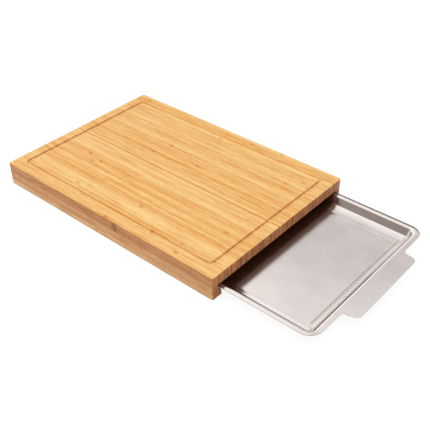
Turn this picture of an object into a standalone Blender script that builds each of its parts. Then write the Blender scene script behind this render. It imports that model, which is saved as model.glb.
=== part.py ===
"""Bamboo bread board with a pressed steel crumb tray that slides out of its right-hand end.

The board is an edge-glued panel of upright bamboo staves on a three-sided frame of laminated rails.
Each rail is three layers: a base, a runner with a bevelled edge, and a narrow spacer under the panel.
The rolled rim of the tray slides on the ledges that the two side runners leave beside their spacers.
The model stands on z = 0, its long side runs along X, and the tray is drawn towards +X.
"""

import math

import bmesh
import bpy
from mathutils import Matrix, Vector

for old_object in list(bpy.data.objects):
    bpy.data.objects.remove(old_object, do_unlink=True)

# Board, overall
board_length = 0.432
board_width = 0.305
board_height = 0.038
corner_radius = 0.0035
corner_steps = 4
arris_radius = 0.0014
arris_steps = 2

# Glue line between two pieces of bamboo
glue_line = 0.0003

# Top panel, glued up from staves on edge
panel_thickness = 0.0165
stave_count = 48

# Juice groove, measured to its centre line, with the round bottom of a ball-nosed cutter
groove_inset = 0.0202
groove_width = 0.006
groove_depth = 0.0025
groove_corner_radius = 0.0095
groove_corner_steps = 5

# Frame rails under the panel: base layer, runner layer with its ledge, and spacer layer
rail_width = 0.018
back_rail_width = 0.018
rail_base_height = 0.0084
ledge_width = 0.0025
spacer_width = 0.0105

# Crumb tray, one sheet of steel pressed to a pan with a rolled rim and a flat front flange
sheet = 0.0008
tray_drawn = 0.1525
stop_clearance = 0.002
side_clearance = 0.0008
head_clearance = 0.0012
seat_gap = 0.0003
rim_width = 0.0077
roll_radius = 0.0067
roll_lean = math.radians(38)
rim_fall = math.radians(8)
flange_drop = 0.0008
hem_radius = 0.001
hem_width = 0.0026
shoulder_radius = 0.0045
foot_radius = 0.0024
floor_height = 0.008
tray_corner_radius = 0.0215
least_corner_radius = 0.003
wall_draft = math.radians(42)
rise_angle = math.radians(9)
side_rise_radius = 0.125
end_rise_radius = 0.012
curl_steps = 2
roll_steps = 4
bend_steps = 4
rise_steps = 2
tray_corner_steps = 7

# Pull tab of the tray
tab_width = 0.1528
tab_reach = 0.0225
tab_neck_radius = 0.0082
tab_corner_radius = 0.0092
tab_lean = math.radians(4)
tab_bend_steps = 5

# Stiffening beads across the tray floor
bead_inset = 0.0247
bead_side_inset = 0.0292
bead_width = 0.0046
bead_height = 0.0009
bead_sides = 10
bead_rings = 7

# Places that follow from the sizes
half_length = board_length / 2
half_width = board_width / 2
panel_underside = board_height - panel_thickness
board_x = -(tray_drawn + tab_reach) / 2
mouth_x = board_x + half_length
rim_top = panel_underside - head_clearance
rim_height = hem_radius * (1 + math.cos(roll_lean)) + roll_radius * (1 - math.cos(roll_lean))
ledge_height = rim_top - rim_height - seat_gap
runner_foot = rail_base_height + glue_line
spacer_foot = ledge_height + glue_line
rail_top = panel_underside - glue_line
inner_face = half_width - rail_width
slot_wall = half_width - spacer_width
bevel_run = rail_width - spacer_width - ledge_width
bevel_angle = math.atan2(bevel_run, ledge_height - runner_foot)


def principled(name, colour, roughness, metallic):
    """A plain material with one colour."""
    made = bpy.data.materials.new(name)
    made.use_nodes = True
    shader = made.node_tree.nodes["Principled BSDF"]
    shader.inputs["Base Color"].default_value = (*colour, 1)
    shader.inputs["Roughness"].default_value = roughness
    shader.inputs["Metallic"].default_value = metallic
    return made


straw_bamboo = principled("straw_bamboo", (0.79, 0.49, 0.20), 0.5, 0)
honey_bamboo = principled("honey_bamboo", (0.72, 0.42, 0.16), 0.5, 0)
amber_bamboo = principled("amber_bamboo", (0.63, 0.34, 0.12), 0.5, 0)
rail_bamboo = principled("rail_bamboo", (0.50, 0.27, 0.13), 0.55, 0)
satin_steel = principled("satin_steel", (0.62, 0.60, 0.58), 0.3, 1)


def stand(name, shape, material, parent, place=Vector()):
    """A named object from a finished bmesh, standing at its place under its parent."""
    mesh = bpy.data.meshes.new(name)
    shape.to_mesh(mesh)
    shape.free()
    mesh.materials.append(material)
    made = bpy.data.objects.new(name, mesh)
    bpy.context.collection.objects.link(made)
    made.location = place
    made.parent = parent
    return made


def joint_empty(name, place):
    """An empty that carries the pieces of one body."""
    made = bpy.data.objects.new(name, None)
    made.location = place
    bpy.context.collection.objects.link(made)
    return made


board = joint_empty("board", Vector((board_x, 0, 0)))


def trace(place, heading, moves):
    """Points of a path of straights (length,) and bends (radius, turn, steps), from a place and heading."""
    points = [Vector(place)]
    for move in moves:
        ahead = Vector((math.cos(heading), math.sin(heading)))
        if len(move) == 1:
            points.append(points[-1] + ahead * move[0])
            continue
        radius, turn, steps = move
        side = math.copysign(1, turn)
        centre = points[-1] + Vector((-ahead.y, ahead.x)) * radius * side
        spoke = points[-1] - centre
        for step in range(1, steps + 1):
            points.append(centre + Matrix.Rotation(turn * step / steps, 2) @ spoke)
        heading += turn
    return points


# Board blanks: rounded corners in plan, and one eased arris


def blank(low, high, eased_height):
    """A solid of the board's plan between two heights, with the arris at one of them eased."""
    shape = bmesh.new()
    bmesh.ops.create_cube(shape, size=1)
    bmesh.ops.scale(shape, vec=Vector((board_length, board_width, high - low)), verts=shape.verts)
    bmesh.ops.translate(shape, vec=Vector((0, 0, (high + low) / 2)), verts=shape.verts)
    uprights = [edge for edge in shape.edges if edge.verts[0].co.xy == edge.verts[1].co.xy]
    bmesh.ops.bevel(
        shape, geom=uprights, offset=corner_radius, segments=corner_steps,
        profile=0.5, affect="EDGES", material=-1,
    )
    near_height = arris_radius / 2
    arris = [e for e in shape.edges if all(abs(v.co.z - eased_height) < near_height for v in e.verts)]
    bmesh.ops.bevel(
        shape, geom=arris, offset=arris_radius, segments=arris_steps,
        profile=0.5, affect="EDGES", material=-1,
    )
    return shape


def sawn(source, cuts):
    """A copy of a blank with each cut's far side sawn off: a cut is a point and the way that falls away."""
    shape = source.copy()
    for point, away in cuts:
        geometry = list(shape.verts) + list(shape.edges) + list(shape.faces)
        cut = bmesh.ops.bisect_plane(
            shape, geom=geometry, plane_co=point, plane_no=away, clear_outer=True,
        )
        rim = [item for item in cut["geom_cut"] if isinstance(item, bmesh.types.BMEdge)]
        bmesh.ops.edgeloop_fill(shape, edges=rim)
    bmesh.ops.recalc_face_normals(shape, faces=shape.faces)
    return shape


# Juice groove cutter: a rod bent to a rounded rectangle, its centre just above the cutting surface

groove_half_length = half_length - groove_inset
groove_half_width = half_width - groove_inset
groove_radius = groove_width ** 2 / (8 * groove_depth) + groove_depth / 2
long_run = 2 * (groove_half_length - groove_corner_radius)
short_run = 2 * (groove_half_width - groove_corner_radius)
quarter_bend = (groove_corner_radius, math.pi / 2, groove_corner_steps)
groove_start = (-groove_half_length + groove_corner_radius, -groove_half_width)
groove_path = trace(groove_start, 0, 2 * [(long_run,), quarter_bend, (short_run,), quarter_bend])
groove_path.pop()

groove_curve = bpy.data.curves.new("groove_cutter", "CURVE")
groove_curve.dimensions = "3D"
groove_curve.bevel_depth = groove_radius
groove_curve.bevel_resolution = 4
groove_spline = groove_curve.splines.new("POLY")
groove_spline.points.add(len(groove_path) - 1)
groove_spline.use_cyclic_u = True
cutter_height = board_height + groove_radius - groove_depth
for spline_point, path_point in zip(groove_spline.points, groove_path):
    spline_point.co = (path_point.x, path_point.y, cutter_height, 1)
groove_rod = bpy.data.objects.new("groove_rod", groove_curve)
bpy.context.collection.objects.link(groove_rod)
groove_rod.parent = board


def evaluated(made):
    """The bmesh of an object with its modifiers applied, in the object's own frame."""
    graph = bpy.context.evaluated_depsgraph_get()
    mesh = bpy.data.meshes.new_from_object(made.evaluated_get(graph))
    shape = bmesh.new()
    shape.from_mesh(mesh)
    bpy.data.meshes.remove(mesh)
    return shape


groove_shape = evaluated(groove_rod)
bpy.data.objects.remove(groove_rod, do_unlink=True)
bmesh.ops.recalc_face_normals(groove_shape, faces=groove_shape.faces)
groove_cutter = stand("groove_cutter", groove_shape, honey_bamboo, board)
groove_cutter.hide_render = True
groove_cutter.display_type = "WIRE"

panel_blank = stand("panel_blank", blank(panel_underside, board_height, board_height), honey_bamboo, board)
groove_cut = panel_blank.modifiers.new("juice_groove", "BOOLEAN")
groove_cut.operation = "DIFFERENCE"
groove_cut.solver = "EXACT"
groove_cut.object = groove_cutter
grooved_panel = evaluated(panel_blank)
bmesh.ops.remove_doubles(grooved_panel, verts=grooved_panel.verts, dist=glue_line / 10)
bpy.data.objects.remove(panel_blank, do_unlink=True)
bpy.data.objects.remove(groove_cutter, do_unlink=True)


# Staves: the grooved panel ripped along its length, a glue line between neighbours

stave_pitch = board_width / stave_count
stave_tones = (honey_bamboo, straw_bamboo, honey_bamboo, amber_bamboo, straw_bamboo)
towards_far = Vector((0, 1, 0))
for stave in range(stave_count):
    near_side = -half_width + stave * stave_pitch + glue_line / 2
    far_side = near_side + stave_pitch - glue_line
    rips = []
    if stave > 0:
        rips.append((Vector((0, near_side, 0)), -towards_far))
    if stave < stave_count - 1:
        rips.append((Vector((0, far_side, 0)), towards_far))
    tone = stave_tones[stave * 2 % len(stave_tones)]
    stand(f"top_stave_{stave + 1:02d}", sawn(grooved_panel, rips), tone, board)
grooved_panel.free()


# Frame rails: the lower blank sawn into three layers, and each layer into its near, far and back pieces

frame_blank = blank(0, rail_top, 0)
upwards = Vector((0, 0, 1))
backwards = Vector((-1, 0, 0))
back_rail_cut = (Vector((-half_length + back_rail_width, 0, 0)), -backwards)


def edge_cut(side, place, foot, lean, outwards):
    """A sawcut along a side rail's inner edge, leaning out from its foot, and the way that falls away."""
    across = Vector((0, side * math.cos(lean), -math.sin(lean)))
    return Vector((0, side * place, foot)), across if outwards else -across


rail_layers = (
    ("base", 0, rail_base_height, inner_face, 0),
    ("runner", runner_foot, ledge_height, inner_face, bevel_angle),
    ("spacer", spacer_foot, rail_top, slot_wall, 0),
)
for layer, foot, top, edge, lean in rail_layers:
    thicknessing = [(Vector((0, 0, foot)), -upwards), (Vector((0, 0, top)), upwards)]
    for side_name, side in (("near", -1), ("far", 1)):
        side_piece = sawn(frame_blank, [*thicknessing, edge_cut(side, edge, foot, lean, False)])
        stand(f"{side_name}_rail_{layer}", side_piece, rail_bamboo, board)
    fitted_edge = edge - glue_line / math.cos(lean)
    end_cuts = [edge_cut(side, fitted_edge, foot, lean, True) for side in (-1, 1)]
    back_piece = sawn(frame_blank, [*thicknessing, back_rail_cut, *end_cuts])
    stand(f"back_rail_{layer}", back_piece, rail_bamboo, board)
frame_blank.free()


# Crumb tray: its rim fits between the two spacers and lies on the ledges
tray_half_width = slot_wall - side_clearance
tray_length = board_length - back_rail_width - stop_clearance
tray_half_length = tray_length / 2
tray_x = mouth_x + tray_drawn - tray_half_length
flange_top = rim_top - flange_drop
edge_points = curl_steps + 1


def rolled_rim():
    """The rim's upper surface: curled tightly outside, gently round on top, down to its inner edge."""
    points = trace(
        (0, ledge_height + seat_gap + hem_radius), math.pi / 2,
        [
            (hem_radius, roll_lean - math.pi / 2, curl_steps),
            (roll_radius, -roll_lean - rim_fall, roll_steps),
        ],
    )
    run = (rim_width - points[-1].x) / math.cos(rim_fall)
    return points + [points[-1] + Vector((math.cos(rim_fall), -math.sin(rim_fall))) * run]


def flat_flange(rim):
    """The front flange's upper surface: level, with a rounded edge and a point for each of the rim's."""
    edge = trace((0, flange_top - sheet / 2), math.pi / 2, [(sheet / 2, -math.pi / 2, curl_steps)])
    return edge + [Vector((point.x, flange_top)) for point in rim[edge_points:]]


def pan_section(edge, fall, rise_radius):
    """The upper surface from the outer edge to the flat floor, as (inset, height) points.

    The rim or the flange, the shoulder, the drafted wall, the foot bend and the gentle rise of the floor
    towards the wall.
    """
    slope = math.pi / 2 - wall_draft
    shoulder_drop = shoulder_radius * (math.cos(fall) - math.cos(slope))
    foot_drop = foot_radius * (math.cos(rise_angle) - math.cos(slope))
    rise_drop = rise_radius * (1 - math.cos(rise_angle))
    wall_drop = edge[-1].y - floor_height - shoulder_drop - foot_drop - rise_drop
    bends = trace(
        edge[-1], -fall,
        [
            (shoulder_radius, fall - slope, bend_steps),
            (wall_drop / math.sin(slope),),
            (foot_radius, slope - rise_angle, bend_steps),
            (rise_radius, rise_angle, rise_steps),
        ],
    )
    return edge + bends[1:]


def pan_underside(section, edge_radius):
    """The lower surface: the round and the flat under the edge, then one sheet below the upper surface."""
    lean = math.pi / 4
    edge_height = section[0].y
    hem_foot = edge_height - edge_radius
    round_place = Vector((edge_radius * (1 - math.cos(lean)), edge_height - edge_radius * math.sin(lean)))
    points = [round_place, Vector((edge_radius, hem_foot)), Vector((hem_width, hem_foot))]
    clear_of_hem = [n for n in range(edge_points, len(section) - 1) if section[n].x > hem_width + sheet]
    for n in clear_of_hem:
        along = (section[n + 1] - section[n - 1]).normalized()
        points.append(section[n] + Vector((along.y, -along.x)) * sheet)
    points.append(section[-1] - Vector((0, sheet)))
    return points


rim = rolled_rim()
flange = flat_flange(rim)
side_section = pan_section(rim, rim_fall, side_rise_radius)
front_section = pan_section(flange, 0, end_rise_radius)
back_section = pan_section(rim, rim_fall, end_rise_radius)
side_underside = pan_underside(side_section, hem_radius)
front_underside = pan_underside(front_section, sheet / 2)
back_underside = pan_underside(back_section, hem_radius)
sections = list(zip(
    side_section[::-1] + side_underside,
    front_section[::-1] + front_underside,
    back_section[::-1] + back_underside,
))

# Pull tab outline, from its neck at the near side to its middle: distance across, and reach past the flange
tab_turn = math.pi / 2 - tab_lean
bend_reach = (tab_neck_radius + tab_corner_radius) * (1 - math.cos(tab_turn))
tab_side = (tab_reach - bend_reach) / math.sin(tab_turn)
neck_run = tab_neck_radius * math.sin(tab_turn)
tab_neck = -(tab_width / 2 + neck_run + tab_side * math.cos(tab_turn) / 2)
near_half = trace(
    (tab_neck, 0), 0,
    [
        (tab_neck_radius, tab_turn, tab_bend_steps),
        (tab_side,),
        (tab_corner_radius, -tab_turn, tab_bend_steps),
    ],
)
tab_outline = near_half + [Vector((-point.x, point.y)) for point in near_half[::-1]]
tab_rings = range(len(front_section) - edge_points, len(front_section) + 2)


def pan_ring(number):
    """One ring round the pan: the front edge from near to far, then the far, back and near sides."""
    side, front, back = sections[number]
    radius = max(tray_corner_radius - max(side.x, front.x, back.x), least_corner_radius)
    across = tray_half_width - side.x - radius
    front_x = tray_half_length - front.x
    back_x = -tray_half_length + back.x
    reach = 1 if number in tab_rings else 0
    straight = tray_half_width - tray_corner_radius
    front_edge = [Vector((-straight, 0)), *tab_outline, Vector((straight, 0))]
    ring = [Vector((front_x + p.y * reach, p.x * across / straight, front.y)) for p in front_edge]
    corners = (
        (front_x - radius, across, 0, front.y, side.y),
        (back_x + radius, across, 1, side.y, back.y),
        (back_x + radius, -across, 2, back.y, side.y),
        (front_x - radius, -across, 3, side.y, front.y),
    )
    for centre_x, centre_y, quarter, start_height, end_height in corners:
        for step in range(tray_corner_steps + 1):
            share = step / tray_corner_steps
            if (quarter == 0 and step == 0) or (quarter == 3 and step == tray_corner_steps):
                continue
            turn = (quarter + share) * math.pi / 2
            eased = share * share * (3 - 2 * share)
            height = start_height + (end_height - start_height) * eased
            spoke = Vector((math.cos(turn), math.sin(turn), 0)) * radius
            ring.append(Vector((centre_x, centre_y, height)) + spoke)
    return ring


def loft(rings):
    """A closed skin drawn from the first ring through each next one, with both ends filled."""
    shape = bmesh.new()
    corners = [shape.verts.new(point) for point in rings[0]]
    edges = [shape.edges.new((corners[i - 1], corners[i])) for i in range(len(corners))]
    bmesh.ops.edgeloop_fill(shape, edges=edges)
    for ring in rings[1:]:
        drawn = bmesh.ops.extrude_edge_only(shape, edges=edges)["geom"]
        edges = [item for item in drawn if isinstance(item, bmesh.types.BMEdge)]
        new_corners = {item for item in drawn if isinstance(item, bmesh.types.BMVert)}
        for index, point in enumerate(ring):
            linked = [edge.other_vert(corners[index]) for edge in corners[index].link_edges]
            corners[index] = next(corner for corner in linked if corner in new_corners)
            corners[index].co = point
        edges = [edge for edge in edges if new_corners.issuperset(edge.verts)]
    bmesh.ops.edgeloop_fill(shape, edges=edges)
    bmesh.ops.recalc_face_normals(shape, faces=shape.faces)
    return shape


tray_slide = joint_empty("tray_slide", Vector((tray_x, 0, 0)))
crumb_tray = stand("crumb_tray", loft([pan_ring(n) for n in range(len(sections))]), satin_steel, tray_slide)


def bead(name, place_x, lowered):
    """A round-ended rib across the tray floor, as a ball flattened and drawn out along Y."""
    shape = bmesh.new()
    bmesh.ops.create_uvsphere(shape, u_segments=bead_sides, v_segments=bead_rings, radius=1)
    bmesh.ops.rotate(shape, cent=Vector(), matrix=Matrix.Rotation(math.pi / 2, 3, "X"), verts=shape.verts)
    size = Vector((bead_width / 2, bead_width / 2, bead_height))
    bmesh.ops.scale(shape, vec=size, verts=shape.verts)
    half_run = tray_half_width - bead_side_inset - bead_width / 2
    for corner in shape.verts:
        corner.co.y += math.copysign(half_run, corner.co.y)
    bmesh.ops.translate(shape, vec=Vector((place_x, 0, floor_height - lowered)), verts=shape.verts)
    bmesh.ops.recalc_face_normals(shape, faces=shape.faces)
    made = stand(name, shape, satin_steel, tray_slide)
    made.hide_render = True
    made.display_type = "WIRE"
    return made


bead_x = tray_half_length - bead_inset
for end_name, end_x in (("front", bead_x), ("back", -bead_x)):
    raised = crumb_tray.modifiers.new(f"{end_name}_bead", "BOOLEAN")
    raised.operation = "UNION"
    raised.solver = "EXACT"
    raised.object = bead(f"{end_name}_bead_raised", end_x, 0)
    hollowed = crumb_tray.modifiers.new(f"{end_name}_bead_hollow", "BOOLEAN")
    hollowed.operation = "DIFFERENCE"
    hollowed.solver = "EXACT"
    hollowed.object = bead(f"{end_name}_bead_hollow", end_x, sheet)

for made in bpy.data.objects:
    if made.type == "MESH":
        made.data.shade_smooth()
        made.data.set_sharp_from_angle(angle=math.radians(30))
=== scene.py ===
"""The looks of a bamboo bread board with a steel crumb tray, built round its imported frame."""

import math

import bmesh
import bpy
from mathutils import Matrix, Vector


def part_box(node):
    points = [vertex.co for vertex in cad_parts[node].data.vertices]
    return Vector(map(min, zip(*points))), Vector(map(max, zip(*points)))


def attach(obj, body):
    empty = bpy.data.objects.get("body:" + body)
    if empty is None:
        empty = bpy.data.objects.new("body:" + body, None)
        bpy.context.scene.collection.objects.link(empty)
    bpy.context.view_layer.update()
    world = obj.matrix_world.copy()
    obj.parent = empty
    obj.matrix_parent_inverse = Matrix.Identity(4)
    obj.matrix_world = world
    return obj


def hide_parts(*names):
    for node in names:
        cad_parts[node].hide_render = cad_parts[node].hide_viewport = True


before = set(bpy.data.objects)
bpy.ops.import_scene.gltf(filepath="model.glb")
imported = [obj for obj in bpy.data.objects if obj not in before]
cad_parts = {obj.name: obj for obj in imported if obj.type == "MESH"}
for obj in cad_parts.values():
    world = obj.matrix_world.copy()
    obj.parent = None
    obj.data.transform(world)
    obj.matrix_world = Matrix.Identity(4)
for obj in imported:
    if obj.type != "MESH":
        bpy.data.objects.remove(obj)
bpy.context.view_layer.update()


# Frame rails
# The panel stands on a near, a far and a back rail. Each is glued up from three layers of bamboo lath:
# a base, a runner with a bevelled inner edge that carries the tray, and a spacer set back to make the slot.

base_low, base_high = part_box("near_rail_base")
runner_low, runner_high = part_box("near_rail_runner")
spacer_low, spacer_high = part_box("near_rail_spacer")
panel_low, panel_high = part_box("top_stave_01")
back_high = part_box("back_rail_base")[1]

board_centre = Vector(((base_low.x + base_high.x) / 2, 0, 0))
half_length = (base_high.x - base_low.x) / 2
half_width = -base_low.y
inner_face = -base_high.y
slot_wall = -spacer_high.y
bevel_top = inner_face + (slot_wall - inner_face) * 2 / 3
panel_foot = panel_low.z
board_top = panel_high.z
corner_radius = 0.0028
arris_radius = 0.0007
corner_segments = 8
arris_segments = 4
crease_angle = math.radians(30)


def piece(name, shape, material, body, slot, *nodes, creased=True):
    """Finishes a piece from its bmesh: it rides on its body and stands for its nodes of the frame."""
    mesh = bpy.data.meshes.new(name)
    shape.to_mesh(mesh)
    shape.free()
    if creased:
        mesh.shade_smooth()
        mesh.set_sharp_from_angle(angle=crease_angle)
    mesh.materials.append(material)
    made = bpy.data.objects.new(name, mesh)
    bpy.context.scene.collection.objects.link(made)
    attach(made, body)
    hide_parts(*nodes)


def blank(low, high, eased_height):
    """A slab of the board's plan between two heights, with any arris at the given height eased."""
    shape = bmesh.new()
    bmesh.ops.create_cube(shape, size=1)
    bmesh.ops.scale(shape, vec=Vector((2 * half_length, 2 * half_width, high - low)), verts=shape.verts)
    bmesh.ops.translate(shape, vec=board_centre + Vector((0, 0, (high + low) / 2)), verts=shape.verts)
    uprights = [edge for edge in shape.edges if edge.verts[0].co.xy == edge.verts[1].co.xy]
    bmesh.ops.bevel(
        shape, geom=uprights, offset=corner_radius, segments=corner_segments,
        profile=0.5, affect="EDGES", material=-1,
    )
    near_height = arris_radius / 2
    arris = [e for e in shape.edges if all(abs(v.co.z - eased_height) < near_height for v in e.verts)]
    if arris:
        bmesh.ops.bevel(
            shape, geom=arris, offset=arris_radius, segments=arris_segments,
            profile=0.5, affect="EDGES", material=-1,
        )
    return shape


def sawn(shape, cuts):
    """The shape with each cut's far side sawn off: a cut is a point and the way that falls away."""
    for point, away in cuts:
        geometry = list(shape.verts) + list(shape.edges) + list(shape.faces)
        cut = bmesh.ops.bisect_plane(shape, geom=geometry, plane_co=point, plane_no=away, clear_outer=True)
        rim = [item for item in cut["geom_cut"] if isinstance(item, bmesh.types.BMEdge)]
        bmesh.ops.edgeloop_fill(shape, edges=rim)
    bmesh.ops.recalc_face_normals(shape, faces=shape.faces)
    return shape


def node(tree, kind, feeds, **settings):
    """A shader node with its settings, each named input fed by another node's output or given a value."""
    made = tree.nodes.new("ShaderNode" + kind)
    for setting, value in settings.items():
        setattr(made, setting, value)
    for place, feed in feeds.items():
        if isinstance(feed, bpy.types.NodeSocket):
            tree.links.new(feed, made.inputs[place])
        else:
            made.inputs[place].default_value = feed
    return made


def maths(tree, operation, *values):
    """The output of one sum."""
    return node(tree, "Math", dict(enumerate(values)), operation=operation).outputs[0]


def ramped(tree, value, low, high, start=0.0, end=1.0):
    """A value that goes from start to end while another goes from low to high."""
    feeds = {"Value": value, "From Min": low, "From Max": high, "To Min": start, "To Max": end}
    return node(tree, "MapRange", feeds, interpolation_type="SMOOTHSTEP").outputs[0]


def vector(tree, x=0.0, y=0.0, z=0.0):
    """A vector from three values."""
    return node(tree, "CombineXYZ", {"X": x, "Y": y, "Z": z}).outputs[0]


def dice(tree, number, seed):
    """Three steady random numbers for each whole number."""
    noise = node(tree, "TexWhiteNoise", {"Vector": vector(tree, number, seed)}, noise_dimensions="2D")
    return node(tree, "SeparateColor", {"Color": noise.outputs["Color"]}).outputs


def streaks(tree, along, across, deep, apart, length, width, detail):
    """Noise drawn out along the fibre, from 0 to 1, with each strip's own stretch of it set apart."""
    place = vector(
        tree, maths(tree, "DIVIDE", along, length), maths(tree, "DIVIDE", across, width),
        maths(tree, "ADD", maths(tree, "DIVIDE", deep, width), apart),
    )
    feeds = {"Vector": place, "Scale": 1.0, "Detail": detail, "Roughness": 0.55}
    return node(tree, "TexNoise", feeds, noise_dimensions="3D").outputs[0]


def effect(name, inputs, outputs):
    """A new shader effect: its group, and the sockets where its inputs come in and its outputs leave."""
    group = bpy.data.node_groups.new(name, "ShaderNodeTree")
    for label, value in inputs.items():
        kind = "NodeSocketVector" if value is None else "NodeSocketFloat"
        socket = group.interface.new_socket(label, in_out="INPUT", socket_type=kind)
        if value is not None:
            socket.default_value = value
    for label in outputs:
        group.interface.new_socket(label, in_out="OUTPUT", socket_type="NodeSocketFloat")
    return group, group.nodes.new("NodeGroupInput").outputs, group.nodes.new("NodeGroupOutput").inputs


def mixed(tree, share, first, second, blend="MIX"):
    """A colour mixed from two colours."""
    made = node(tree, "Mix", {}, data_type="RGBA", blend_type=blend)
    for place, feed in ((0, share), (6, first), (7, second)):
        if isinstance(feed, bpy.types.NodeSocket):
            tree.links.new(feed, made.inputs[place])
        else:
            made.inputs[place].default_value = feed if place == 0 else (*feed, 1)
    return made.outputs[2]


# Bamboo is sawn into strips. Each has a tone of its own, leans in tone from its dense outer side to its pale
# inner side, is streaked with fibre bundles, and is crossed by the smudge of a node here and there.
grain, strip_in, strip_out = effect(
    "bamboo_strips",
    {
        "Place": None, "Strip Width": 0.006, "Butt Joint": 1.0, "Main Joint": 99.0,
        "Seed": 0.0, "Spread": 0.5, "Node Spacing": 0.24,
    },
    ("Tone", "Node", "Glue", "Fibre"),
)
# Each kind of streak: its length and width, its detail, and how much it changes the tone.
streak_kinds = {
    "broad": (0.11, 0.0012, 3.0, 1.0),
    "dashes": (0.014, 0.0009, 2.0, 1.2),
    "fine": (0.05, 0.0007, 3.0, 2.2),
    "cloud": (0.11, 0.012, 2.0, 0.4),
}
lean_weight = 0.22
strip_shift = 0.0001
seed_past_butt = 5.0
noise_apart = 17.0
nodes_apart = 8.0
axes = node(grain, "SeparateXYZ", {0: strip_in["Place"]}).outputs
along = axes["X"]
past_butt = maths(grain, "GREATER_THAN", along, strip_in["Butt Joint"])
seed = maths(grain, "MULTIPLY_ADD", past_butt, seed_past_butt, strip_in["Seed"])
across = maths(grain, "DIVIDE", maths(grain, "ADD", axes["Y"], strip_shift), strip_in["Strip Width"])
strip = maths(grain, "FLOOR", across)
within = maths(grain, "SUBTRACT", across, strip)
own_tone, own_lean, own_phase = dice(grain, strip, seed)[:3]
apart = maths(grain, "MULTIPLY_ADD", strip, noise_apart, seed)
streak = {}
for kind, (length, width, detail, weight) in streak_kinds.items():
    streak[kind] = streaks(grain, along, axes["Y"], axes["Z"], apart, length, width, detail)

node_place = maths(grain, "ADD", maths(grain, "DIVIDE", along, strip_in["Node Spacing"]), own_phase)
node_number = maths(grain, "FLOOR", node_place)
node_strength = dice(grain, maths(grain, "MULTIPLY_ADD", strip, nodes_apart, node_number), seed)[0]
from_node = maths(grain, "SUBTRACT", maths(grain, "SUBTRACT", node_place, node_number), 0.5)
past_node = maths(grain, "MULTIPLY", from_node, strip_in["Node Spacing"])
node_rise = ramped(grain, past_node, -0.003, 0.0005)
node_tail = ramped(grain, past_node, 0.001, 0.010, 1.0, 0.0)
from_middle = maths(grain, "ABSOLUTE", maths(grain, "SUBTRACT", within, 0.5))
node_breadth = ramped(grain, from_middle, 0.22, 0.5, 1.0, 0.15)
node_grain = ramped(grain, streak["dashes"], 0.38, 0.56, 0.25, 1.0)
node_mark = maths(grain, "MULTIPLY", node_rise, node_tail)
for share in (node_breadth, node_grain, ramped(grain, node_strength, 0.35, 0.95)):
    node_mark = maths(grain, "MULTIPLY", node_mark, share)

glue_number = maths(grain, "FLOOR", maths(grain, "ADD", across, 0.5))
own_glue = dice(grain, glue_number, maths(grain, "ADD", seed, 0.5))[0]
glue_shows = ramped(grain, own_glue, 0.35, 1.0, 0.15, 1.0)
glue = maths(grain, "MULTIPLY", ramped(grain, from_middle, 0.455, 0.5), glue_shows)
from_main = maths(grain, "ABSOLUTE", maths(grain, "SUBTRACT", across, strip_in["Main Joint"]))
glue = maths(grain, "MAXIMUM", glue, ramped(grain, from_main, 0.07, 0.3, 2.0, 0.0))
from_butt = maths(grain, "ABSOLUTE", maths(grain, "SUBTRACT", along, strip_in["Butt Joint"]))
glue = maths(grain, "MAXIMUM", glue, ramped(grain, from_butt, 0.0002, 0.0006, 1.0, 0.0))

leaning = ramped(grain, own_lean, 0.3, 0.7, -1.0, 1.0)
lean = maths(grain, "MULTIPLY", maths(grain, "SUBTRACT", within, 0.5), leaning)
tone = maths(grain, "MULTIPLY_ADD", maths(grain, "SUBTRACT", own_tone, 0.5), strip_in["Spread"], 0.5)
tone = maths(grain, "MULTIPLY_ADD", lean, lean_weight, tone)
for kind, (length, width, detail, weight) in streak_kinds.items():
    tone = maths(grain, "MULTIPLY_ADD", maths(grain, "SUBTRACT", streak[kind], 0.5), weight, tone)
for label, feed in (("Tone", tone), ("Node", node_mark), ("Glue", glue), ("Fibre", streak["fine"])):
    grain.links.new(feed, strip_out[label])

# Sawn across, the same fibre bundles show as dots, crowded towards one side of each strip, and the saw leaves
# upright flecks. The strip's own tone, the dots, the crowding and the flecks each have a weight.
end_inputs = {"Place": None, "Strip Width": 0.006, "Seed": 0.0}
ends, end_in, end_out = effect("bamboo_ends", end_inputs, ("Tone",))
dots_per_metre = 1250.0
own_weight, dot_weight, crowd_weight, fleck_weight = 0.5, 0.4, 0.7, 1.7
axes = node(ends, "SeparateXYZ", {0: end_in["Place"]}).outputs
across = maths(ends, "DIVIDE", axes["Y"], end_in["Strip Width"])
strip = maths(ends, "FLOOR", across)
within = maths(ends, "SUBTRACT", across, strip)
own_tone, own_lean = dice(ends, strip, end_in["Seed"])[:2]
dots = node(
    ends, "TexVoronoi", {"Vector": vector(ends, axes["Y"], axes["Z"], strip), "Scale": dots_per_metre},
    voronoi_dimensions="3D",
).outputs["Distance"]
dotted = ramped(ends, dots, 0.12, 0.5)
side = maths(ends, "SUBTRACT", within, 0.5)
leaning = ramped(ends, own_lean, 0.3, 0.7, -1.0, 1.0)
crowded = maths(ends, "MULTIPLY_ADD", side, leaning, 0.5)
edge = ramped(ends, maths(ends, "ABSOLUTE", side), 0.34, 0.5, -0.05, -0.75)
flecks = streaks(ends, axes["Z"], axes["Y"], axes["X"], 0.0, 0.005, 0.0011, 2.0)
end_tone = maths(ends, "MULTIPLY_ADD", maths(ends, "SUBTRACT", own_tone, 0.5), own_weight, edge)
end_tone = maths(ends, "MULTIPLY_ADD", maths(ends, "SUBTRACT", flecks, 0.5), fleck_weight, end_tone)
end_tone = maths(ends, "MULTIPLY_ADD", dotted, dot_weight, end_tone)
end_tone = maths(ends, "MULTIPLY_ADD", crowded, crowd_weight, end_tone)
ends.links.new(end_tone, end_out["Tone"])

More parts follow.
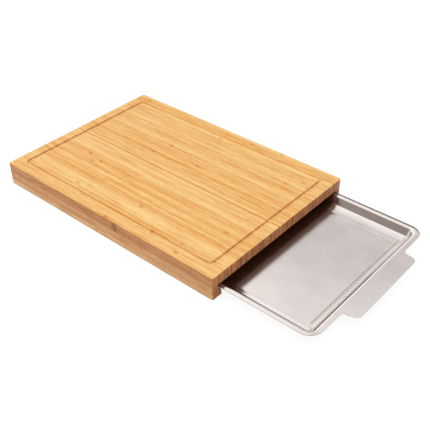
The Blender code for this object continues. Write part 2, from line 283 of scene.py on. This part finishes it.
stave_nodes = sorted(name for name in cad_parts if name.startswith("top_stave_"))
strip_width = 2 * half_width / len(stave_nodes)
node_brown = (0.74, 0.45, 0.16)
glue_brown = (0.78, 0.48, 0.18)
# Painted contact shadow along the foot of the board.
foot_painted_shadow = (0.5, 0.42, 0.36)
end_dark = (0.36, 0.118, 0.036)
end_light = (0.77, 0.34, 0.145)
# Painted shade for the ends of the strips as the tray's steel mirrors them.
mirrored_end_painted_shade = (0.32, 0.2, 0.1)
fibre_relief = 0.00008


def bamboo(
    name, dark, light, seed, spread=0.5, turned=False, butt=1.0, joint=99.0,
    underside_painted_shade=(1, 1, 1), end_tint=(1, 1, 1), tints=None,
):
    """Oiled bamboo with its strips along X, or turned along Y: its dark and light tones and its tints, with
    painted shade on downward faces, a painted shadow at the board's foot and its ends painted darker in the
    steel's reflection.
    """
    made = bpy.data.materials.new(name)
    made.use_nodes = True
    tree = made.node_tree
    shader = tree.nodes["Principled BSDF"]
    reading = node(tree, "TexCoord", {}).outputs
    place, facing = reading["Object"], reading["Normal"]
    if turned:
        quarter = {"rotation_type": "Z_AXIS"}
        place = node(tree, "VectorRotate", {"Vector": place, "Angle": math.pi / 2}, **quarter).outputs[0]
        facing = node(tree, "VectorRotate", {"Vector": facing, "Angle": math.pi / 2}, **quarter).outputs[0]
    face = node(tree, "SeparateXYZ", {0: facing}).outputs
    strips = tree.nodes.new("ShaderNodeGroup")
    strips.node_tree = grain
    tree.links.new(place, strips.inputs["Place"])
    values = {
        "Strip Width": strip_width, "Butt Joint": butt, "Main Joint": joint, "Seed": seed, "Spread": spread,
    }
    for label, value in values.items():
        strips.inputs[label].default_value = value
    cross = tree.nodes.new("ShaderNodeGroup")
    cross.node_tree = ends
    tree.links.new(place, cross.inputs["Place"])
    cross.inputs["Strip Width"].default_value = strip_width
    cross.inputs["Seed"].default_value = seed
    colour = mixed(tree, strips.outputs["Tone"], dark, light)
    colour = mixed(tree, strips.outputs["Node"], colour, node_brown, "MULTIPLY")
    colour = mixed(tree, maths(tree, "MULTIPLY", strips.outputs["Glue"], 0.5), colour, glue_brown, "MULTIPLY")
    if tints:
        colour = tints(tree, colour, strips.outputs["Tone"], place, face)
    height = node(tree, "SeparateXYZ", {0: place}).outputs["Z"]
    # Faces that look down are multiplied by painted shade, which darkens the panel's underside inside the
    # slot.
    colour = mixed(tree, ramped(tree, face["Z"], -0.8, -0.6, 1.0, 0.0), colour, underside_painted_shade, "MULTIPLY")
    # A painted contact shadow darkens every lath along the board's bottom edge.
    colour = mixed(tree, ramped(tree, height, 0.0003, 0.0018, 1.0, 0.0), colour, foot_painted_shadow, "MULTIPLY")
    # Where the tray's steel mirrors them, the ends of the strips are multiplied by painted shade, so that
    # their reflection is darker than the ends themselves.
    end_colour = mixed(tree, cross.outputs["Tone"], end_dark, end_light)
    end_colour = mixed(tree, 1.0, end_colour, end_tint, "MULTIPLY")
    in_steel = node(tree, "LightPath", {}).outputs["Is Glossy Ray"]
    end_colour = mixed(tree, in_steel, end_colour, mirrored_end_painted_shade, "MULTIPLY")
    sawn_end = ramped(tree, maths(tree, "ABSOLUTE", face["X"]), 0.6, 0.8)
    tree.links.new(mixed(tree, sawn_end, colour, end_colour), shader.inputs["Base Color"])
    tree.links.new(ramped(tree, strips.outputs["Fibre"], 0.2, 0.8, 0.62, 0.46), shader.inputs["Roughness"])
    bump = node(tree, "Bump", {"Height": strips.outputs["Fibre"], "Strength": 0.25, "Distance": fibre_relief})
    tree.links.new(bump.outputs[0], shader.inputs["Normal"])
    shader.inputs["Specular IOR Level"].default_value = 0.3
    return made


rail_spread = 0.4
rail_end_tint = (0.73, 0.67, 0.51)
side_rail_seed = 11.0
back_rail_seed = 31.0
base_top = (base_high.z + runner_low.z) / 2
ledge = (runner_high.z + spacer_low.z) / 2
one_butt = board_centre.x + 0.056
bevel_lean = math.atan2(bevel_top - inner_face, ledge - base_top)
no_butt = 1.0
# Each layer: its foot and top, its inner edge and that edge's lean, its two tones, and where strips butt.
rail_layers = (
    ("base", 0, base_top, inner_face, 0, (0.46, 0.225, 0.092), (0.88, 0.58, 0.305), no_butt),
    ("runner", base_top, ledge, inner_face, bevel_lean, (0.37, 0.135, 0.038), (0.685, 0.395, 0.19), one_butt),
    ("spacer", ledge, panel_foot, slot_wall, 0, (0.475, 0.205, 0.062), (0.81, 0.505, 0.285), no_butt),
)
for number, (layer, foot, top, edge, lean, dark, light, butt) in enumerate(rail_layers):
    lath_bamboo = bamboo(
        f"{layer}_bamboo", dark, light, side_rail_seed + number, rail_spread,
        butt=butt, end_tint=rail_end_tint,
    )
    turned_bamboo = bamboo(
        f"back_{layer}_bamboo", dark, light, back_rail_seed + number, rail_spread,
        turned=True, end_tint=rail_end_tint,
    )
    for side_name, side in (("near", -1), ("far", 1)):
        inwards = Vector((0, -side * math.cos(lean), math.sin(lean)))
        lath = sawn(blank(foot, top, 0), [(Vector((0, side * edge, foot)), inwards)])
        rail = f"{side_name}_rail_{layer}"
        piece(f"{rail}_lath", lath, lath_bamboo, "board", "rail_bamboo", rail)
    cuts = [(Vector((back_high.x, 0, 0)), Vector((1, 0, 0)))]
    for side in (-1, 1):
        cuts.append((Vector((0, side * edge, foot)), Vector((0, side * math.cos(lean), -math.sin(lean)))))
    lath = sawn(blank(foot, top, 0), cuts)
    piece(f"back_rail_{layer}_lath", lath, turned_bamboo, "board", "rail_bamboo", f"back_rail_{layer}")


# Top panel
# Bamboo strips on edge, glued side by side, planed, and routed with a ball-nosed cutter for the juice groove.
# The panel is glued down on the rails, flush with their outer faces.

groove_inset = 0.0202
groove_width = 0.006
groove_depth = 0.0025
groove_corner = 0.0095
groove_ease = 0.0004
guard = 0.0003
plan_steps = 12
arris_steps = 5
groove_steps = 16
panel_dark = (0.655, 0.255, 0.028)
panel_light = (0.84, 0.60, 0.25)
# Painted shade for the panel's underside inside the slot.
panel_under_painted_shade = (0.24, 0.15, 0.12)
panel_seed = 8.0
main_joint = -1.0
side_band = 0.003
side_blend = 0.001
side_dark = (0.64, 0.69, 1.18)
side_light = (0.90, 0.77, 0.98)
# The groove's near run: its routed brown with painted shade; its far run: painted light.
groove_brown_and_painted_shade = (0.84, 0.68, 0.54)
groove_painted_light = (1.2, 1.58, 2.1)
knot_x = board_centre.x + 0.0285
knot_reach = 0.009
knot_brown = (0.5, 0.42, 0.42)


def bend(centre, radius, start, end, steps):
    """Points on an arc in the plane of inset and height, from one angle to another."""
    turns = [start + (end - start) * step / steps for step in range(steps + 1)]
    return [centre + Vector((math.cos(turn), math.sin(turn))) * radius for turn in turns]


def plan_ring(inset, height, radius):
    """A ring of the board's plan at an inset from its edge, with round corners."""
    ring = []
    for quarter, (side_x, side_y) in enumerate(((1, 1), (-1, 1), (-1, -1), (1, -1))):
        reach_x, reach_y = half_length - inset - radius, half_width - inset - radius
        centre = Vector((side_x * reach_x, side_y * reach_y, height))
        for step in range(plan_steps + 1):
            turn = (quarter + step / plan_steps) * math.pi / 2
            ring.append(board_centre + centre + Vector((math.cos(turn), math.sin(turn), 0)) * radius)
    return ring


def loft(rings):
    """A skin drawn out from the first ring through each next one, with its two ends filled."""
    shape = bmesh.new()
    corners = [shape.verts.new(point) for point in rings[0]]
    edges = [shape.edges.new((corners[i - 1], corners[i])) for i in range(len(corners))]
    bmesh.ops.edgeloop_fill(shape, edges=edges)
    for ring in rings[1:]:
        drawn = bmesh.ops.extrude_edge_only(shape, edges=edges)["geom"]
        edges = [item for item in drawn if isinstance(item, bmesh.types.BMEdge)]
        new_corners = {item for item in drawn if isinstance(item, bmesh.types.BMVert)}
        for index, point in enumerate(ring):
            linked = [edge.other_vert(corners[index]) for edge in corners[index].link_edges]
            corners[index] = next(corner for corner in linked if corner in new_corners)
            corners[index].co = point
        edges = [edge for edge in edges if new_corners.issuperset(edge.verts)]
    bmesh.ops.edgeloop_fill(shape, edges=edges)
    bmesh.ops.recalc_face_normals(shape, faces=shape.faces)
    return shape


def panel_tints(tree, colour, tone, place, face):
    """The long sides are duller, with a knot; the groove's near run is brown, partly its routed tone and
    partly painted shade, and its far run pale with painted light.
    """
    axes = node(tree, "SeparateXYZ", {0: place}).outputs
    from_centre = maths(tree, "ABSOLUTE", maths(tree, "SUBTRACT", axes["X"], board_centre.x))
    from_axis = maths(tree, "ABSOLUTE", axes["Y"])
    inside = 1.0
    for distance, half in ((from_centre, half_length), (from_axis, half_width)):
        share = ramped(tree, distance, half - side_band, half - side_band + side_blend, 1.0, 0.0)
        inside = maths(tree, "MULTIPLY", inside, share)
    outside = maths(tree, "SUBTRACT", 1.0, inside)
    upright = ramped(tree, maths(tree, "ABSOLUTE", face["Y"]), 0.6, 0.8)
    side_tint = mixed(tree, tone, side_dark, side_light)
    colour = mixed(tree, maths(tree, "MULTIPLY", upright, outside), colour, side_tint, "MULTIPLY")
    # Painted shade on the groove's near run and painted light on its far run, split at the board's middle.
    groove_light_and_shade_tint = mixed(tree, maths(tree, "GREATER_THAN", axes["Y"], 0.0), groove_brown_and_painted_shade, groove_painted_light)
    colour = mixed(tree, maths(tree, "MULTIPLY", upright, inside), colour, groove_light_and_shade_tint, "MULTIPLY")
    from_knot = maths(tree, "ABSOLUTE", maths(tree, "SUBTRACT", axes["X"], knot_x))
    knot = ramped(tree, from_knot, 0.0, knot_reach, 1.0, 0.0)
    specks = node(tree, "TexNoise", {"Vector": place, "Scale": 450.0, "Detail": 2.0}).outputs[0]
    for share in (upright, outside, ramped(tree, specks, 0.38, 0.58, 0.15, 1.6)):
        knot = maths(tree, "MULTIPLY", knot, share)
    return mixed(tree, knot, colour, knot_brown, "MULTIPLY")


panel_bamboo = bamboo(
    "panel_bamboo", panel_dark, panel_light, panel_seed, joint=main_joint,
    underside_painted_shade=panel_under_painted_shade, tints=panel_tints,
)
groove_radius = groove_width ** 2 / (8 * groove_depth) + groove_depth / 2
groove_floor = board_top - groove_depth
groove_half_turn = math.asin(groove_width / 2 / groove_radius)
groove_arc = bend(
    Vector((groove_inset, groove_floor + groove_radius)), groove_radius,
    -math.pi / 2 - groove_half_turn, -math.pi / 2 + groove_half_turn, groove_steps,
)
outer_lip, inner_lip = groove_arc[0].x, groove_arc[-1].x
section = [Vector((guard, panel_foot)), Vector((0, panel_foot))]
arris_centre = Vector((arris_radius, board_top - arris_radius))
section += bend(arris_centre, arris_radius, math.pi, math.pi / 2, arris_steps)
section += [Vector((arris_radius + guard, board_top))]
section += [Vector((outer_lip - groove_ease - gap, board_top)) for gap in (guard, 0)]
section += groove_arc[1:-1]
section += [Vector((inner_lip + groove_ease + gap, board_top)) for gap in (0, guard)]
panel_rings = []
for place in section:
    follows_edge = place.x < groove_inset / 2
    radius = corner_radius - place.x if follows_edge else groove_corner + groove_inset - place.x
    panel_rings.append(plan_ring(place.x, place.y, radius))
piece("bamboo_panel", loft(panel_rings), panel_bamboo, "board", "top_bamboo", *stave_nodes)


# Crumb tray
# One sheet of satin stainless steel, pressed in a die: walls, flange and beads in one stroke, then its rim is
# rolled. It hangs by the rim on the runners' ledges and is drawn out by its tab.

tray_low, tray_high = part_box("crumb_tray")
sheet = 0.0008
# Rolled rims and front flange
hem_radius = 0.00085
hem_width = 0.0026
far_lean = math.radians(16)
far_crest = 0.0069
far_shoulder_radius = 0.0052
near_lean = math.radians(22)
near_crest = 0.0039
near_roll_radius = 0.0025
near_shoulder_radius = 0.0072
front_shoulder_radius = 0.0095
flange_width = 0.0056
flange_drop = 0.0008
# Walls and the floor's rise towards them
foot_radius = 0.0018
far_wall_draft = math.radians(38.5)
front_wall_draft = math.radians(35)
wall_draft = math.radians(42)
rise_angle = math.radians(9)
far_rise_radius = 0.125
near_rise_radius = 0.013
near_rise_run = 0.0065
end_rise_radius = 0.02
tray_corner = 0.0215
least_corner = 0.003
# Pull tab
tab_width = 0.1528
tab_reach = 0.0225
tab_neck_radius = 0.0082
tab_corner_radius = 0.0092
tab_lean = math.radians(4)
# Stiffening beads
bead_inset = 0.0249
bead_side_inset = 0.0297
bead_width = 0.0034
bead_height = 0.0013
bead_lean = 0.33
# Fineness of the mesh
nearly_level = 0.999999
curl_steps = 14
roll_steps = 12
bend_steps = 12
corner_steps = 24
bead_cuts = 12

steel_dark = (0.66, 0.603, 0.578)
steel_light = (0.685, 0.628, 0.602)
rolling_length = 0.02
rolling_width = 0.0003
satin_steel = bpy.data.materials.new("satin_steel")
satin_steel.use_nodes = True
steel_tree = satin_steel.node_tree
steel = steel_tree.nodes["Principled BSDF"]
steel.inputs["Metallic"].default_value = 1.0
steel_place = node(steel_tree, "TexCoord", {}).outputs["Object"]
steel_axes = node(steel_tree, "SeparateXYZ", {0: steel_place}).outputs
rolling = streaks(
    steel_tree, steel_axes["X"], steel_axes["Y"], steel_axes["Z"], 0.0, rolling_length, rolling_width, 3.0,
)
handling = node(steel_tree, "TexNoise", {"Vector": steel_place, "Scale": 28.0, "Detail": 3.0}).outputs[0]
steel_tone = mixed(steel_tree, ramped(steel_tree, handling, 0.3, 0.7), steel_dark, steel_light)
steel_tree.links.new(steel_tone, steel.inputs["Base Color"])
steel_gloss = ramped(steel_tree, handling, 0.25, 0.75, 0.13, 0.16)
steel_gloss = maths(steel_tree, "MULTIPLY_ADD", rolling, 0.05, steel_gloss)
steel_tree.links.new(steel_gloss, steel.inputs["Roughness"])
steel_bump = node(steel_tree, "Bump", {"Height": rolling, "Strength": 0.04, "Distance": 0.00002})
steel_tree.links.new(steel_bump.outputs[0], steel.inputs["Normal"])

tray_half_width = tray_high.y
tray_front = tray_high.x - tab_reach
tray_half_length = (tray_front - tray_low.x) / 2
tray_centre = Vector(((tray_front + tray_low.x) / 2, 0, 0))
tray_floor = tray_low.z + sheet
flange_top = tray_high.z - flange_drop


def run_on(place, heading, moves):
    """Points of a path of straights (length,) and bends (radius, turn, steps)."""
    points = [Vector(place)]
    for move in moves:
        ahead = Vector((math.cos(heading), math.sin(heading)))
        if len(move) == 1:
            points.append(points[-1] + ahead * move[0])
            continue
        radius, turn, steps = move
        side = math.copysign(1, turn)
        centre = points[-1] + Vector((-ahead.y, ahead.x)) * radius * side
        spoke = points[-1] - centre
        for step in range(1, steps + 1):
            points.append(centre + Matrix.Rotation(turn * step / steps, 2) @ spoke)
        heading += turn
    return points


def rolled_rim(lean, crest, roll_radius):
    """The curled edge, the slope up from it and the roll to the crest, at its inset from the tray's side."""
    run = (crest - hem_radius * (1 - math.sin(lean)) - roll_radius * math.sin(lean)) / math.cos(lean)
    rise = hem_radius * (1 + math.cos(lean)) + run * math.sin(lean) + roll_radius * (1 - math.cos(lean))
    moves = [
        (hem_width - hem_radius,),
        (hem_radius, lean - math.pi, curl_steps),
        (run,),
        (roll_radius, -lean, roll_steps),
    ]
    return run_on((hem_width, tray_high.z - rise), math.pi, moves)


def pan_section(edge, shoulder_radius, draft, rise_radius, rise_run):
    """The upper skin from the sheet's edge over the rim, down the wall and on to the flat floor."""
    slope = math.pi / 2 - draft
    drops = (
        shoulder_radius * (1 - math.cos(slope)),
        foot_radius * (math.cos(rise_angle) - math.cos(slope)),
        rise_run * math.sin(rise_angle),
        rise_radius * (1 - math.cos(rise_angle)),
    )
    wall = (edge[-1].y - tray_floor - sum(drops)) / math.sin(slope)
    moves = [
        (shoulder_radius, -slope, bend_steps),
        (wall,),
        (foot_radius, slope - rise_angle, bend_steps),
        (rise_run,),
        (rise_radius, rise_angle, bend_steps),
        (guard,),
    ]
    return edge + run_on(edge[-1], 0, moves)[1:]


def lower_skin(upper):
    """The lower skin of the bent sheet, one thickness to the right of the way that the upper skin runs."""
    lower = []
    for index, point in enumerate(upper):
        ahead = upper[min(index + 1, len(upper) - 1)] - upper[max(index - 1, 0)]
        ahead.normalize()
        lower.append(point + Vector((ahead.y, -ahead.x)) * sheet)
    return lower


far_rim = rolled_rim(far_lean, far_crest, far_shoulder_radius)
near_rim = rolled_rim(near_lean, near_crest, near_roll_radius)
edge_points = curl_steps + 2
edge_centre = Vector((sheet / 2, flange_top - sheet / 2))
edge_gap = math.radians(3)
flange = bend(edge_centre, sheet / 2, math.pi - edge_gap, math.pi / 2, edge_points - 1)
inner_points = len(far_rim) - edge_points
for point in range(1, inner_points + 1):
    inset = sheet / 2 + (flange_width - sheet / 2) * point / inner_points
    flange.append(Vector((inset, flange_top)))
# The front, far, back and near sections.
uppers = [
    pan_section(flange, front_shoulder_radius, front_wall_draft, end_rise_radius, guard),
    pan_section(far_rim, far_shoulder_radius, far_wall_draft, far_rise_radius, guard),
    pan_section(far_rim, far_shoulder_radius, wall_draft, end_rise_radius, guard),
    pan_section(near_rim, near_shoulder_radius, wall_draft, near_rise_radius, near_rise_run),
]
lowers = [lower_skin(upper) for upper in uppers]
lowers[0][:edge_points] = bend(
    edge_centre, sheet / 2, math.pi + edge_gap, math.pi * 3 / 2, edge_points - 1,
)

tab_turn = math.pi / 2 - tab_lean
bend_reach = (tab_neck_radius + tab_corner_radius) * (1 - math.cos(tab_turn))
tab_side = (tab_reach - bend_reach) / math.sin(tab_turn)
neck_run = tab_neck_radius * math.sin(tab_turn)
tab_neck = -(tab_width / 2 + neck_run + tab_side * math.cos(tab_turn) / 2)
half_tab = run_on(
    (tab_neck, 0), 0,
    [(tab_neck_radius, tab_turn, bend_steps), (tab_side,), (tab_corner_radius, -tab_turn, bend_steps)],
)
tab_outline = half_tab + [Vector((-point.x, point.y)) for point in half_tab[::-1]]


def pan_ring(front, far, back, near, on_edge):
    """One ring round the pan: the front from near to far with the tab, then the far, back and near sides."""
    radius = max(tray_corner - max(front.x, far.x, back.x, near.x), least_corner)
    far_y = tray_half_width - far.x - radius
    near_y = tray_half_width - near.x - radius
    front_x = tray_half_length - front.x
    back_x = -tray_half_length + back.x
    straight = tray_half_width - tray_corner
    ring = []
    for point in [Vector((-straight, 0)), *tab_outline, Vector((straight, 0))]:
        side_y = near_y if point.x < 0 else far_y
        ring.append(Vector((front_x + point.y * on_edge, point.x * side_y / straight, front.y)))
    corners = (
        (front_x - radius, far_y, 0, front.y, far.y),
        (back_x + radius, far_y, 1, far.y, back.y),
        (back_x + radius, -near_y, 2, back.y, near.y),
        (front_x - radius, -near_y, 3, near.y, front.y),
    )
    for centre_x, centre_y, quarter, start_height, end_height in corners:
        for step in range(corner_steps + 1):
            share = step / corner_steps
            if (quarter == 0 and step == 0) or (quarter == 3 and step == corner_steps):
                continue
            turn = (quarter + share) * math.pi / 2
            eased = share * share * (3 - 2 * share)
            height = start_height + (end_height - start_height) * eased
            spoke = Vector((math.cos(turn), math.sin(turn), 0)) * radius
            ring.append(Vector((centre_x, centre_y, height)) + spoke)
    return [tray_centre + point for point in ring]


def pressed_bead(shape, place_x):
    """Cuts both skins of the floor finely where a bead crosses it, and raises them into a round-ended rib."""
    highest = tray_floor + near_rise_run
    half_run = tray_half_width - bead_side_inset - bead_width / 2
    cuts = []
    for cut in range(bead_cuts + 1):
        offset = bead_width * (cut / bead_cuts - 0.5)
        cuts.append((Vector((place_x + offset, 0, 0)), Vector((1, 0, 0)), 2 * tray_half_length))
    for side in (-1, 1):
        for cut in range(bead_cuts // 2 + 1):
            offset = half_run + bead_width * cut / bead_cuts
            cuts.append((Vector((0, side * offset, 0)), Vector((0, 1, 0)), bead_width / 2 + guard))
    for point, way, reach in cuts:
        faces = [
            face for face in shape.faces
            if all(v.co.z < highest for v in face.verts)
            and abs(face.calc_center_median().x - place_x) < reach
        ]
        edges = {edge for face in faces for edge in face.edges}
        corners = {corner for face in faces for corner in face.verts}
        bmesh.ops.bisect_plane(shape, geom=[*corners, *edges, *faces], plane_co=point, plane_no=way)
    for corner in shape.verts:
        from_ridge = (corner.co.x - place_x) / (bead_width / 2) - bead_lean
        from_ridge /= 1 + math.copysign(bead_lean, -from_ridge)
        past_end = max(abs(corner.co.y) - half_run, 0) / (bead_width / 2)
        distance = math.hypot(from_ridge, past_end)
        if corner.co.z < highest and distance < 1:
            corner.co.z += bead_height * (1 + math.cos(math.pi * distance)) / 2


rings = [(*points, number < edge_points) for number, points in enumerate(zip(*uppers))]
rings = rings[::-1] + [(*points, number < edge_points) for number, points in enumerate(zip(*lowers))]
pan = loft([pan_ring(*ring) for ring in rings])
for place_x in (tray_front - bead_inset, tray_low.x + bead_inset):
    pressed_bead(pan, place_x)
# The level floor is shaded flat, and all that bends is shaded smooth.
for face in pan.faces:
    face.smooth = abs(face.normal.z) < nearly_level
piece("steel_tray", pan, satin_steel, "tray", "tray_steel", "crumb_tray", creased=False)


# Studio
# A white table in a plain room: bright behind the board with one dim panel, warm and dim in front, dark low
# down at the right. One soft lamp lights the near side and one the top. The camera stands off the near right
# corner and looks down at the board.

floor_reach = 4
floor_shape = bmesh.new()
bmesh.ops.create_grid(floor_shape, x_segments=1, y_segments=1, size=floor_reach)
floor_mesh = bpy.data.meshes.new("studio_floor")
floor_shape.to_mesh(floor_mesh)
floor_shape.free()
floor = bpy.data.objects.new("studio_floor", floor_mesh)
bpy.context.scene.collection.objects.link(floor)
floor_paint = bpy.data.materials.new("studio_white")
floor_paint.use_nodes = True
floor_tree = floor_paint.node_tree
floor_tree.nodes.clear()


def paper(albedo, shine):
    """White paper that also gives off a little light of its own."""
    diffuse = node(floor_tree, "BsdfDiffuse", {"Color": (albedo, albedo, albedo, 1)})
    glow = node(floor_tree, "Emission", {"Strength": shine})
    return node(floor_tree, "AddShader", {0: diffuse.outputs[0], 1: glow.outputs[0]}).outputs[0]


# Where it is seen, the paper is dimmer but glows, so that it shows white and still takes the board's shadow.
rays = node(floor_tree, "LightPath", {}).outputs
seen = maths(floor_tree, "MAXIMUM", rays["Is Camera Ray"], rays["Is Glossy Ray"])
seen = maths(floor_tree, "MAXIMUM", seen, rays["Is Transmission Ray"])
floor_mix = node(floor_tree, "MixShader", {0: seen, 1: paper(0.75, 0), 2: paper(0.22, 0.85)})
floor_out = floor_tree.nodes.new("ShaderNodeOutputMaterial")
floor_tree.links.new(floor_mix.outputs[0], floor_out.inputs["Surface"])
floor_mesh.materials.append(floor_paint)

room = bpy.data.worlds.new("studio_room")
bpy.context.scene.world = room
room.use_nodes = True
room_tree = room.node_tree
direction = node(room_tree, "TexCoord", {}).outputs["Generated"]
height = node(room_tree, "SeparateXYZ", {0: direction}).outputs["Z"]


def wall(tint, steps):
    """One wall of the room: its brightness by height, in steps of sine of elevation and half brightness."""
    ramp = node(room_tree, "ValToRGB", {"Fac": height})
    ramp.color_ramp.interpolation = "EASE"
    elements = ramp.color_ramp.elements
    elements.remove(elements[1])
    elements[0].position = steps[0][0]
    elements[0].color = (*[share * steps[0][1] for share in tint], 1)
    for place, half_brightness in steps[1:]:
        elements.new(place).color = (*[share * half_brightness for share in tint], 1)
    return ramp.outputs["Color"]


def towards(way, start, end):
    """A share that grows to 1 for directions the given way."""
    facing = node(room_tree, "VectorMath", {0: direction, 1: way}, operation="DOT_PRODUCT").outputs["Value"]
    return ramped(room_tree, facing, start, end)


white = (1, 1, 1)
warm_white = (1.1, 1.0, 0.92)
pale_cream = (1, 0.96, 0.92)
left_way = (-0.766, -0.643, 0)
back_way = (-0.66, 0.75, 0)
right_way = (0.8, 0.6, 0)
back_steps = ((0.2, 0.11), (0.33, 0.725), (0.82, 0.735), (0.97, 0.6))
dim_steps = (*back_steps[:2], (0.5, 0.725), (0.61, 0.35), (0.70, 0.55), *back_steps[2:])
front_steps = ((0.05, 0.2), (0.17, 0.16), (0.7, 0.17), (0.86, 0.7), (0.97, 0.6))
right_steps = ((0.1, 0.04), (0.4, 0.12), (0.65, 0.46), (0.85, 0.5), (0.97, 0.6))
# The dim panel takes the right part of the back wall.
back = mixed(room_tree, towards(left_way, -0.10, 0.02), wall(white, dim_steps), wall(white, back_steps))
walls = mixed(room_tree, towards(back_way, -0.35, 0.35), wall(warm_white, front_steps), back)
walls = mixed(room_tree, towards(right_way, 0.08, 0.6), walls, wall(pale_cream, right_steps))
walls = node(room_tree, "VectorMath", {0: walls, "Scale": 2.0}, operation="SCALE").outputs[0]
seen = node(room_tree, "LightPath", {}).outputs["Is Camera Ray"]
room_tree.links.new(
    mixed(room_tree, seen, walls, white), room_tree.nodes["Background"].inputs["Color"],
)

lamp_size = 1.2
for lamp_name, energy, lamp_reach in (
    ("near_lamp", 7, Vector((-0.3, -1.5, 0.45))),
    ("ceiling_lamp", 3.8, Vector((0, 0, 1.6))),
):
    lamp_data = bpy.data.lights.new(lamp_name, "AREA")
    lamp_data.energy = energy
    lamp_data.size = lamp_size
    lamp = bpy.data.objects.new(lamp_name, lamp_data)
    lamp.location = board_centre + lamp_reach
    lamp.rotation_euler = lamp_reach.to_track_quat("Z", "Y").to_euler()
    lamp.visible_camera = False
    lamp.visible_glossy = False
    bpy.context.scene.collection.objects.link(lamp)

camera_reach = Vector((0.68341, -0.68633, 0.67687))
camera_turn = math.radians(40.891)
camera_rise = math.radians(36.969)
camera_roll = math.radians(-0.427)
camera_data = bpy.data.cameras.new("camera")
camera_data.lens = 61.41
camera = bpy.data.objects.new("camera", camera_data)
camera.matrix_world = (
    Matrix.Translation(board_centre + camera_reach)
    @ Matrix.Rotation(camera_turn, 4, "Z")
    @ Matrix.Rotation(math.pi / 2 - camera_rise, 4, "X")
    @ Matrix.Rotation(camera_roll, 4, "Z")
)
bpy.context.scene.collection.objects.link(camera)
bpy.context.scene.camera = camera
bpy.context.scene.view_settings.view_transform = "Standard"
